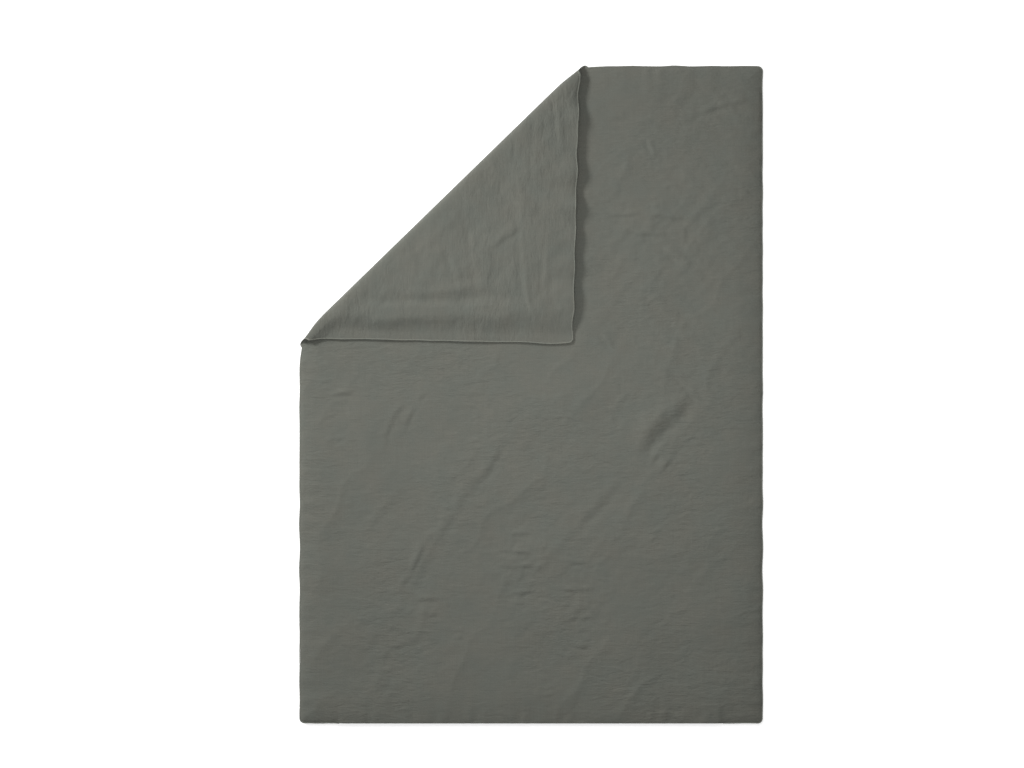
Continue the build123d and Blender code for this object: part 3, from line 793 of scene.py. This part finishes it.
def nylon(name, color):
    """The coil's nylon thread."""
    shader = Shader(name)
    place = shader.node("ShaderNodeTexCoord").outputs["Object"]
    ribs = shader.noise(shader.place(place, (1500, 1500, 1500)), 1.0, 3.0)
    tone = shader.mix(shader.spread(ribs, 0.3, 0.7), shade(color), shade(color, 1.2))
    normal = shader.bump(ribs, 0.00003, 0.4)
    roughness = shader.spread(ribs, 0.3, 0.7, 0.35, 0.5)
    return shader.finish(tone, roughness, normal, Specular_IOR_Level=0.5)


GREEN = (0.118, 0.119, 0.101)
COVER = linen("cover_linen", GREEN)
# The seam rim's linen is 1.35 times lighter than the cover's: a painted highlight for the light that
# the rounded seam catches.
RIM_HIGHLIGHT_LINEN = linen("cover_rim_painted_highlight", tuple(1.35 * c for c in GREEN))
COTTON = woven("insert_cotton", (0.80, 0.79, 0.75), 0.0007, 0.04, 0.2)
LABEL = woven("label_satin", (0.80, 0.79, 0.75), 0.0005, 0.03)
TAPE = woven("zip_tape", (0.105, 0.109, 0.095), 0.0012, 0.12)
COIL = nylon("zip_coil", (0.10, 0.104, 0.09))
THREAD = woven("sewing_thread", (0.15, 0.155, 0.135), 0.0005, 0.1)
METAL = lacquered("zip_metal", (0.10, 0.104, 0.09))


def dress(piece, material):
    piece.data.materials.clear()
    piece.data.materials.append(material)


# --- The cover ---

SETTLED = settled_cloth()

# Where edges are added beside the fold line. The back's lie evenly round its roll.
BACK_CUTS = [(HINGE[2] - 0.001) * math.cos(math.pi * step / 18) for step in range(19)]
FACE_CUTS = [sign * offset for sign in (-1, 1) for offset in (0.0006, 0.0015, 0.003, 0.007, 0.013)]
FACE_CUTS.append(0.0)

cover_face = cover_cloth("cover_face", laid_face, FACE_CUTS, False, (0.0, 0.0), False, 0.0015)
complete(cover_face, COVER, "cover_linen", "cover_top_panel", "corner_cover_top_panel")

cover_back = cover_cloth("cover_back", laid_back, BACK_CUTS, True, (5.3, 3.7), flip=True)
complete(cover_back, COVER, "cover_linen", "cover_bottom_panel", "corner_cover_bottom_panel")


def outline_path(inset, corner, start=0.0, step=0.004, fine=0.001):
    """A line round the duvet, laid flat, from this far along the foot's right half, round to the
    same place on its left half."""
    half_width, half_length = HALF_WIDTH - inset, HALF_LENGTH - inset
    radius = corner - inset
    corners = (
        (half_width - radius, -half_length + radius, -90),
        (half_width - radius, half_length - radius, 0),
        (-half_width + radius, half_length - radius, 90),
        (-half_width + radius, -half_length + radius, 180),
    )
    points = [(start, -half_length)]
    for cx, cy, first in corners:
        for turn in range(0, 91, 6):
            along_x, along_y = unit(first + turn)
            points.append((cx + radius * along_x, cy + radius * along_y))
    points.append((-start, -half_length))
    path = [points[0]]
    for (ax, ay), (bx, by) in zip(points, points[1:]):
        long = math.hypot(bx - ax, by - ay)
        done = 0.0
        while done < long - 1e-9:
            here = (ax + (bx - ax) * done / long, ay + (by - ay) * done / long)
            close = abs(across_fold(*here)) < 0.05
            done = min(long, done + (fine if close else step))
            path.append((ax + (bx - ax) * done / long, ay + (by - ay) * done / long))
    return np.array(path)


def seam_rim():
    """The cover's sewn edge: the turned seam as a firm, slightly uneven rim."""
    plan = outline_path(LIP * 0.5, CORNER_RADIUS + LIP, ZIP_HALF - 0.008)
    path = np.column_stack([plan, seam_level(plan[:, 0], plan[:, 1])])
    section = [(RIM_OUT * unit(turn)[0], RIM_UP * unit(turn)[1]) for turn in range(0, 360, 30)]
    vertices, faces = sweep(path, section)
    random = np.random.default_rng(61)
    reach = np.repeat(1 + 0.05 * random.standard_normal(len(path)), len(section))
    centre = np.repeat(path, len(section), axis=0)
    vertices = centre + (vertices - centre) * reach[:, None]
    piece = new_piece("cover_seam_rim", vertices, faces)
    laid = vertices.copy()
    laid[:, 0], laid[:, 1] = wavy_outline(vertices[:, 0], vertices[:, 1])
    cloth_coordinates(piece, laid, False, (9.1, 0.4))
    bend_with_fold(piece, laid)
    # The rim wears the lighter linen, a painted highlight along the seam.
    complete(piece, RIM_HIGHLIGHT_LINEN, "cover_linen", "cover_seam_allowance", "corner_seam_allowance")


seam_rim()

# --- The insert ---


def nodes_named(*starts):
    """The frame's nodes whose names start like this."""
    return [name for name in frame["nodes"] if name.startswith(starts)]


def quilting(x, y):
    """How deep the insert is drawn in along its baffles."""
    column, row = 2 * HALF_WIDTH / COLUMNS, 2 * HALF_LENGTH / ROWS
    off_x = np.abs((x / column + COLUMNS / 2 + 0.5) % 1 - 0.5) * column
    off_y = np.abs((y / row + ROWS / 2 + 0.5) % 1 - 0.5) * row
    gathers = 1 + 0.35 * waves(x, y, 71, 0.03, 0.08)
    return 0.0035 * np.exp(-np.minimum(off_x, off_y) / 0.022) * gathers


def keep_one_side(piece, way):
    """Cuts a closed piece at the fold line, and closes the cut."""
    work = bmesh.new()
    work.from_mesh(piece.data)
    made = bmesh.ops.bisect_plane(
        work,
        geom=work.verts[:] + work.edges[:] + work.faces[:],
        dist=1e-6,
        plane_co=(HINGE[0], HINGE[1], 0),
        plane_no=tuple(-way * INWARD),
        clear_outer=True,
    )
    cut = [part for part in made["geom_cut"] if isinstance(part, bmesh.types.BMEdge)]
    bmesh.ops.edgenet_fill(work, edges=cut)
    work.to_mesh(piece.data)
    work.free()


def set_on_side(piece, laid, way, inset):
    """Places an inner piece that ends at the fold. It lies in its own half of the roll, and
    moves with the body on its side."""
    placed, _ = folded(laid, inset, ROLL_END, corner=way < 0)
    piece.data.vertices.foreach_set("co", placed.astype(np.float32).ravel())
    piece.data.update()
    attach(piece, "duvet" if way > 0 else "corner")


def insert_quilt(name, way, nodes):
    """The insert on one side of the fold: two quilted cloths, closed all round, with the fill
    between them."""
    half_width = INSERT_HALF_WIDTH - QUILT_ROOM
    half_length = INSERT_HALF_LENGTH - QUILT_ROOM
    columns, rows = 130, 184
    u, v = grid_places(half_width, half_length, columns, rows)
    x, y = rounded_plan(u, v, half_width, half_length, INSERT_RADIUS)
    sheet = np.stack([x, y + INSERT_CENTRE, np.zeros_like(x)], axis=1)
    top, bottom = sheet + (0, 0, 1), sheet - (0, 0, 1)
    count = len(sheet)
    index = np.arange(count).reshape(rows + 1, columns + 1)
    rim = np.concatenate([index[0, :-1], index[:-1, -1], index[-1, :0:-1], index[:0:-1, 0]])
    after = np.roll(rim, -1)
    wall = np.stack([rim + count, after + count, after, rim], axis=1)
    faces = np.concatenate(
        [grid_faces(columns, rows), grid_faces(columns, rows, count, True), wall]
    )
    piece = new_piece(name, np.concatenate([top, bottom]), faces)
    cut_near_fold(piece, BACK_CUTS)
    keep_one_side(piece, way)
    flat = coordinates(piece)
    x, y, level = flat.T
    distance = inside_distance(
        x, y - INSERT_CENTRE, INSERT_HALF_WIDTH, INSERT_HALF_LENGTH, INSERT_RADIUS
    )
    full = loft_shape(distance - QUILT_ROOM, 0.07)
    rise = 0.0012 + (FACE_FULL - MIDDLE - 0.0032) * full - quilting(x, y) * full
    upper = np.minimum(MIDDLE + rise, laid_face(x, y) - 0.0036)
    lower = np.maximum(MIDDLE - rise, laid_back(x, y) + 0.0040)
    middle_level = inner_level(x, y)
    upper = np.maximum(upper, middle_level + 0.0002)
    lower = np.minimum(lower, middle_level - 0.0002)
    laid = flat.copy()
    laid[:, 2] = lower + (upper - lower) * (level + 1) / 2
    set_on_side(piece, laid, way, 0.004)
    complete(piece, COTTON, "insert_cotton", *nodes)


def inner_level(x, y):
    """Half way between the cover's two cloths, laid flat."""
    return (laid_face(x, y) + laid_back(x, y)) / 2


def round_section(radius, flatten=1.0):
    return [(radius * unit(a)[0], flatten * radius * unit(a)[1]) for a in range(0, 360, 36)]


def insert_piping(name, way, node):
    """The corded binding round the insert's edge, on one side of the fold."""
    low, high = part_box("insert_edge_piping")
    inset = HALF_WIDTH - high.x + PIPING_RADIUS + QUILT_ROOM
    foot_shift = (HALF_LENGTH - high.y) - (low.y + HALF_LENGTH)
    plan = outline_path(inset, INSERT_RADIUS + HALF_WIDTH - high.x)
    plan[:, 1] -= foot_shift * (HALF_LENGTH - inset - plan[:, 1]) / (2 * (HALF_LENGTH - inset))
    path = np.column_stack([plan, inner_level(plan[:, 0], plan[:, 1])])
    kept = way * across_fold(path[:, 0], path[:, 1]) > 0.004
    start = np.flatnonzero(kept & ~np.roll(kept, 1))[0]
    path = np.roll(path, -start, axis=0)[: kept.sum()]
    vertices, faces = sweep(path, round_section(PIPING_RADIUS))
    piece = new_piece(name, vertices, faces)
    set_on_side(piece, vertices, way, 0.007)
    complete(piece, COTTON, "insert_cotton", node)


def ring(centre, reach_a, reach_b, radius, flatten):
    """A closed loop of tape round an ellipse, given its centre and its two half axes."""
    turns = np.linspace(0, 2 * math.pi, 40, endpoint=False)
    path = centre + np.outer(np.cos(turns), reach_a) + np.outer(np.sin(turns), reach_b)
    normal = np.cross(reach_a, reach_b)
    normal /= np.linalg.norm(normal)
    ahead = np.roll(path, -1, axis=0) - np.roll(path, 1, axis=0)
    ahead /= np.linalg.norm(ahead, axis=1)[:, None]
    aside = np.cross(ahead, normal)
    rings = [path + aside * a + normal * b for a, b in round_section(radius, flatten)]
    vertices = np.stack(rings, axis=1).reshape(-1, 3)
    return vertices, tube_faces(len(path), len(rings), closed=True)


def corner_rings(name, near, far, half_width, radius, flatten, upright):
    """The same small loop of tape in each of the duvet's corners."""
    vertices, faces = [], []
    for sign_x, sign_y in ((1, 1), (1, -1), (-1, -1), (-1, 1)):
        inward = np.array([-sign_x, -sign_y, 0]) / math.sqrt(2)
        corner = np.array([sign_x * HALF_WIDTH, sign_y * HALF_LENGTH, 0])
        centre = corner + inward * (near + far) / 2
        centre[2] = inner_level(centre[:1], centre[1:2])[0]
        side = np.array([0, 0, 1.0]) if upright else np.cross(inward, [0, 0, 1.0])
        reach = inward * (far - near) / 2
        made, quads = ring(centre, reach, side * half_width, radius, flatten)
        faces.extend(quads + len(vertices) * len(made))
        vertices.append(made)
    vertices = np.concatenate(vertices)
    piece = new_piece(name, vertices, faces)
    cloth_coordinates(piece, vertices, False, (0.0, 0.0))
    bend_with_fold(piece, vertices)
    return piece


QUILT_NODES = nodes_named("insert_fill", "insert_baffles", "insert_top_shell", "insert_bottom_shell")
insert_quilt("insert_quilt", 1, QUILT_NODES)
CORNER_QUILT_NODES = nodes_named("corner_fill", "corner_baffles", "corner_insert")
insert_quilt("corner_insert_quilt", -1, CORNER_QUILT_NODES)
insert_piping("insert_piping", 1, "insert_edge_piping")
insert_piping("corner_insert_piping", -1, "corner_edge_piping")
loops = corner_rings("insert_loops", 0.024, 0.048, 0.0050, 0.0014, 0.35, False)
complete(loops, COTTON, "insert_cotton", "insert_corner_loops", "corner_loop")
ties = corner_rings("cover_ties", 0.013, 0.027, 0.0016, 0.0009, 0.6, True)
complete(ties, COVER, "cover_linen", "cover_corner_ties", "corner_tie")

# --- The zip ---


def foot_strip(name, sign, section):
    """A strip along the zip, with its section given as (depth in from the foot edge, share of
    the opening, offset) points. It follows the opening, which closes at both ends."""
    count = round(2 * ZIP_HALF / 0.004)
    x = np.linspace(-ZIP_HALF, ZIP_HALF, count + 1)
    wide = opening(x, np.full_like(x, -HALF_LENGTH))
    wobble = 0.00012 * waves(x, 0 * x, 81, 0.02, 0.06, 0.0, 0.0)
    drawn_in = (LIP - 0.0006) * (1 - zip_part(x, np.full_like(x, -HALF_LENGTH), 0.012))
    rings = []
    for depth, share, offset in section:
        room = np.maximum(wide - 0.0012 * (depth > 0.003), 0.0003)
        height = np.clip(share * wide + offset, 0.0002, room)
        y = -HALF_LENGTH + depth + drawn_in + wobble
        rings.append(np.column_stack([x, y, MIDDLE + sign * height]))
    vertices = np.stack(rings, axis=1).reshape(-1, 3)
    faces = tube_faces(len(x), len(section))
    piece = new_piece(name, vertices, faces if sign > 0 else faces[:, ::-1])
    map_cloth(piece, np.column_stack([vertices[:, 0], vertices[:, 1] + vertices[:, 2]]))
    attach(piece, "duvet")
    return piece


HEM_SECTION = (
    (0.0008, 1, 0.0000),
    (0.0003, 1, -0.0003),
    (0.0002, 1, -0.0007),
    (0.0005, 1, -0.0011),
    (0.0014, 1, -0.0013),
    (0.0140, 1, -0.0013),
    (0.0140, 1, -0.0007),
    (0.0016, 1, -0.0006),
)
TAPE_SECTION = (
    (0.0078, 0, 0.0016),
    (0.0078, 1, -0.0016),
    (0.0138, 1, -0.0016),
    (0.0138, 1, -0.0021),
    (0.0084, 1, -0.0021),
    (0.0084, 0, 0.0016),
)


def coil(sign, node):
    """One side of the coil: its turns, bent from nylon thread, on the tape's edge. They mesh
    with the other side's up to the slider and stand apart beyond it."""
    low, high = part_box(node)
    slider = (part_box("zip_slider_body")[0].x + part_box("zip_slider_body")[1].x) / 2
    count = int((high.x - low.x - 2 * COIL_THREAD) / COIL_PITCH)
    x = low.x + COIL_THREAD + COIL_PITCH * (np.arange(count) + 0.5 * (sign < 0))
    apart = COIL_APART * smooth((x - slider + 0.007) / 0.006)
    back, front = COIL_BACK - HALF_LENGTH, COIL_FRONT - HALF_LENGTH
    # a turn, seen along the zip: out at the back, across its head, and in at the front
    out = [(back, 0.0022), (back, 0.0004)]
    head = [(back - 0.0004, -0.00012), (front + 0.0004, -0.00012)]
    shape = out + head + [(front, 0.0004), (front, 0.0022)]
    lean = np.linspace(-0.25, 0.25, len(shape)) * COIL_PITCH
    sides = 6
    vertices = np.zeros((count, len(shape), sides, 3))
    for k in range(sides):
        along_x, along_z = unit(60 * k)
        vertices[:, :, k, 0] = x[:, None] + lean + COIL_THREAD * along_x
        for n, (y, rise) in enumerate(shape):
            thick = COIL_THREAD * along_z
            on_head = n in (2, 3)
            vertices[:, n, k, 1] = y + (0 if on_head else thick)
            lift = rise + (thick if on_head else 0)
            vertices[:, n, k, 2] = MIDDLE + sign * (lift + apart)
    piece = many_tubes(node + "_turns", vertices)
    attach(piece, "duvet")
    complete(piece, COIL, "zip_coil", node)


def topstitch():
    """The stitches that hold the zip's tapes to the panels, in a row along each edge."""
    x = np.arange(-ZIP_HALF + 0.004, ZIP_HALF - 0.004, STITCH_PITCH)
    y = np.full_like(x, STITCH_DEPTH - HALF_LENGTH)
    shares = np.array([-1.0, -0.6, 0.0, 0.6, 1.0])
    swells = np.array([0.35, 1.0, 1.1, 1.0, 0.35])
    rows = []
    for height_of, sign in ((laid_face, 1), (laid_back, -1)):
        level = height_of(x, y) + sign * 0.00008
        row = np.zeros((len(x), len(shares), 8, 3))
        row[..., 0] = (x[:, None] + shares * STITCH_HALF)[:, :, None]
        for k in range(8):
            aside, up = (STITCH_THREAD * part for part in unit(45 * k))
            row[:, :, k, 1] = y[:, None] + swells * aside
            row[:, :, k, 2] = level[:, None] + swells * up
        rows.append(row)
    piece = many_tubes("zip_topstitch", np.concatenate(rows))
    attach(piece, "duvet")
    complete(piece, THREAD, "cover_linen")


for side_name, sign in (("top", 1), ("bottom", -1)):
    hem = foot_strip(f"foot_hem_{side_name}", sign, HEM_SECTION)
    complete(hem, COVER, "cover_linen", f"cover_foot_hem_{side_name}")
    tape = foot_strip(f"tape_{side_name}", sign, TAPE_SECTION)
    complete(tape, TAPE, "zip_tape", f"zip_tape_{side_name}")
    coil(sign, f"zip_coil_{side_name}")
topstitch()
for name in ("zip_bottom_stop", "zip_top_stops", "zip_slider_body", "zip_pull_tab"):
    dress(frame["nodes"][name], METAL)
dress(frame["nodes"]["care_label"], LABEL)

# --- Floor, light and camera ---

VIEW_WIDTH = 3.428  # what the camera takes in across, at the duvet's height
LENS = 100.0  # the lens and the sensor in millimetres
SENSOR = 36.0
AIM = (-0.064, 0.036)


def area_light(name, place, size, power, aim):
    light = bpy.data.lights.new(name, "AREA")
    light.shape = "SQUARE"
    light.size = size
    light.energy = power
    lamp = bpy.data.objects.new(name, light)
    lamp.location = place
    lamp.rotation_mode = "QUATERNION"
    lamp.rotation_quaternion = (Vector(place) - Vector(aim)).to_track_quat("Z", "Y")
    bpy.context.scene.collection.objects.link(lamp)


def studio():
    """A pale floor, a soft key light from the head end on the left, and an even sky."""
    bpy.ops.mesh.primitive_plane_add(size=120.0, location=(0, 0, -0.0005))
    floor = bpy.context.active_object
    floor.name = "floor"
    shader = Shader("floor_white")
    grain = shader.noise(shader.node("ShaderNodeTexCoord").outputs["Object"], 3.0)
    tone = shader.mix(shader.spread(grain, 0.3, 0.7), (0.90, 0.90, 0.90, 1), (0.92, 0.92, 0.92, 1))
    dress(floor, shader.finish(tone, 0.9, None))
    shader.surface.inputs["Emission Color"].default_value = (1, 1, 1, 1)
    shader.surface.inputs["Emission Strength"].default_value = 0.60

    area_light("key", (-3.9, 2.8, 2.8), 1.2, 280.0, (-0.1, 0.1, 0))
    area_light("overhead", (0.15, 0.1, 2.0), 1.0, 20.0, (0.15, 0.1, 0))
    world = bpy.data.worlds.new("studio")
    bpy.context.scene.world = world
    world.use_nodes = True
    background = world.node_tree.nodes["Background"]
    background.inputs[0].default_value = (1, 1, 1, 1)
    background.inputs[1].default_value = 0.36
    bpy.context.scene.view_settings.view_transform = "Standard"


def camera():
    data = bpy.data.cameras.new("camera")
    data.lens = LENS
    data.sensor_width = SENSOR
    data.clip_end = 100.0
    eye = bpy.data.objects.new("camera", data)
    eye.location = (AIM[0], AIM[1], MIDDLE + VIEW_WIDTH * LENS / SENSOR)
    bpy.context.scene.collection.objects.link(eye)
    bpy.context.scene.camera = eye


studio()
camera()
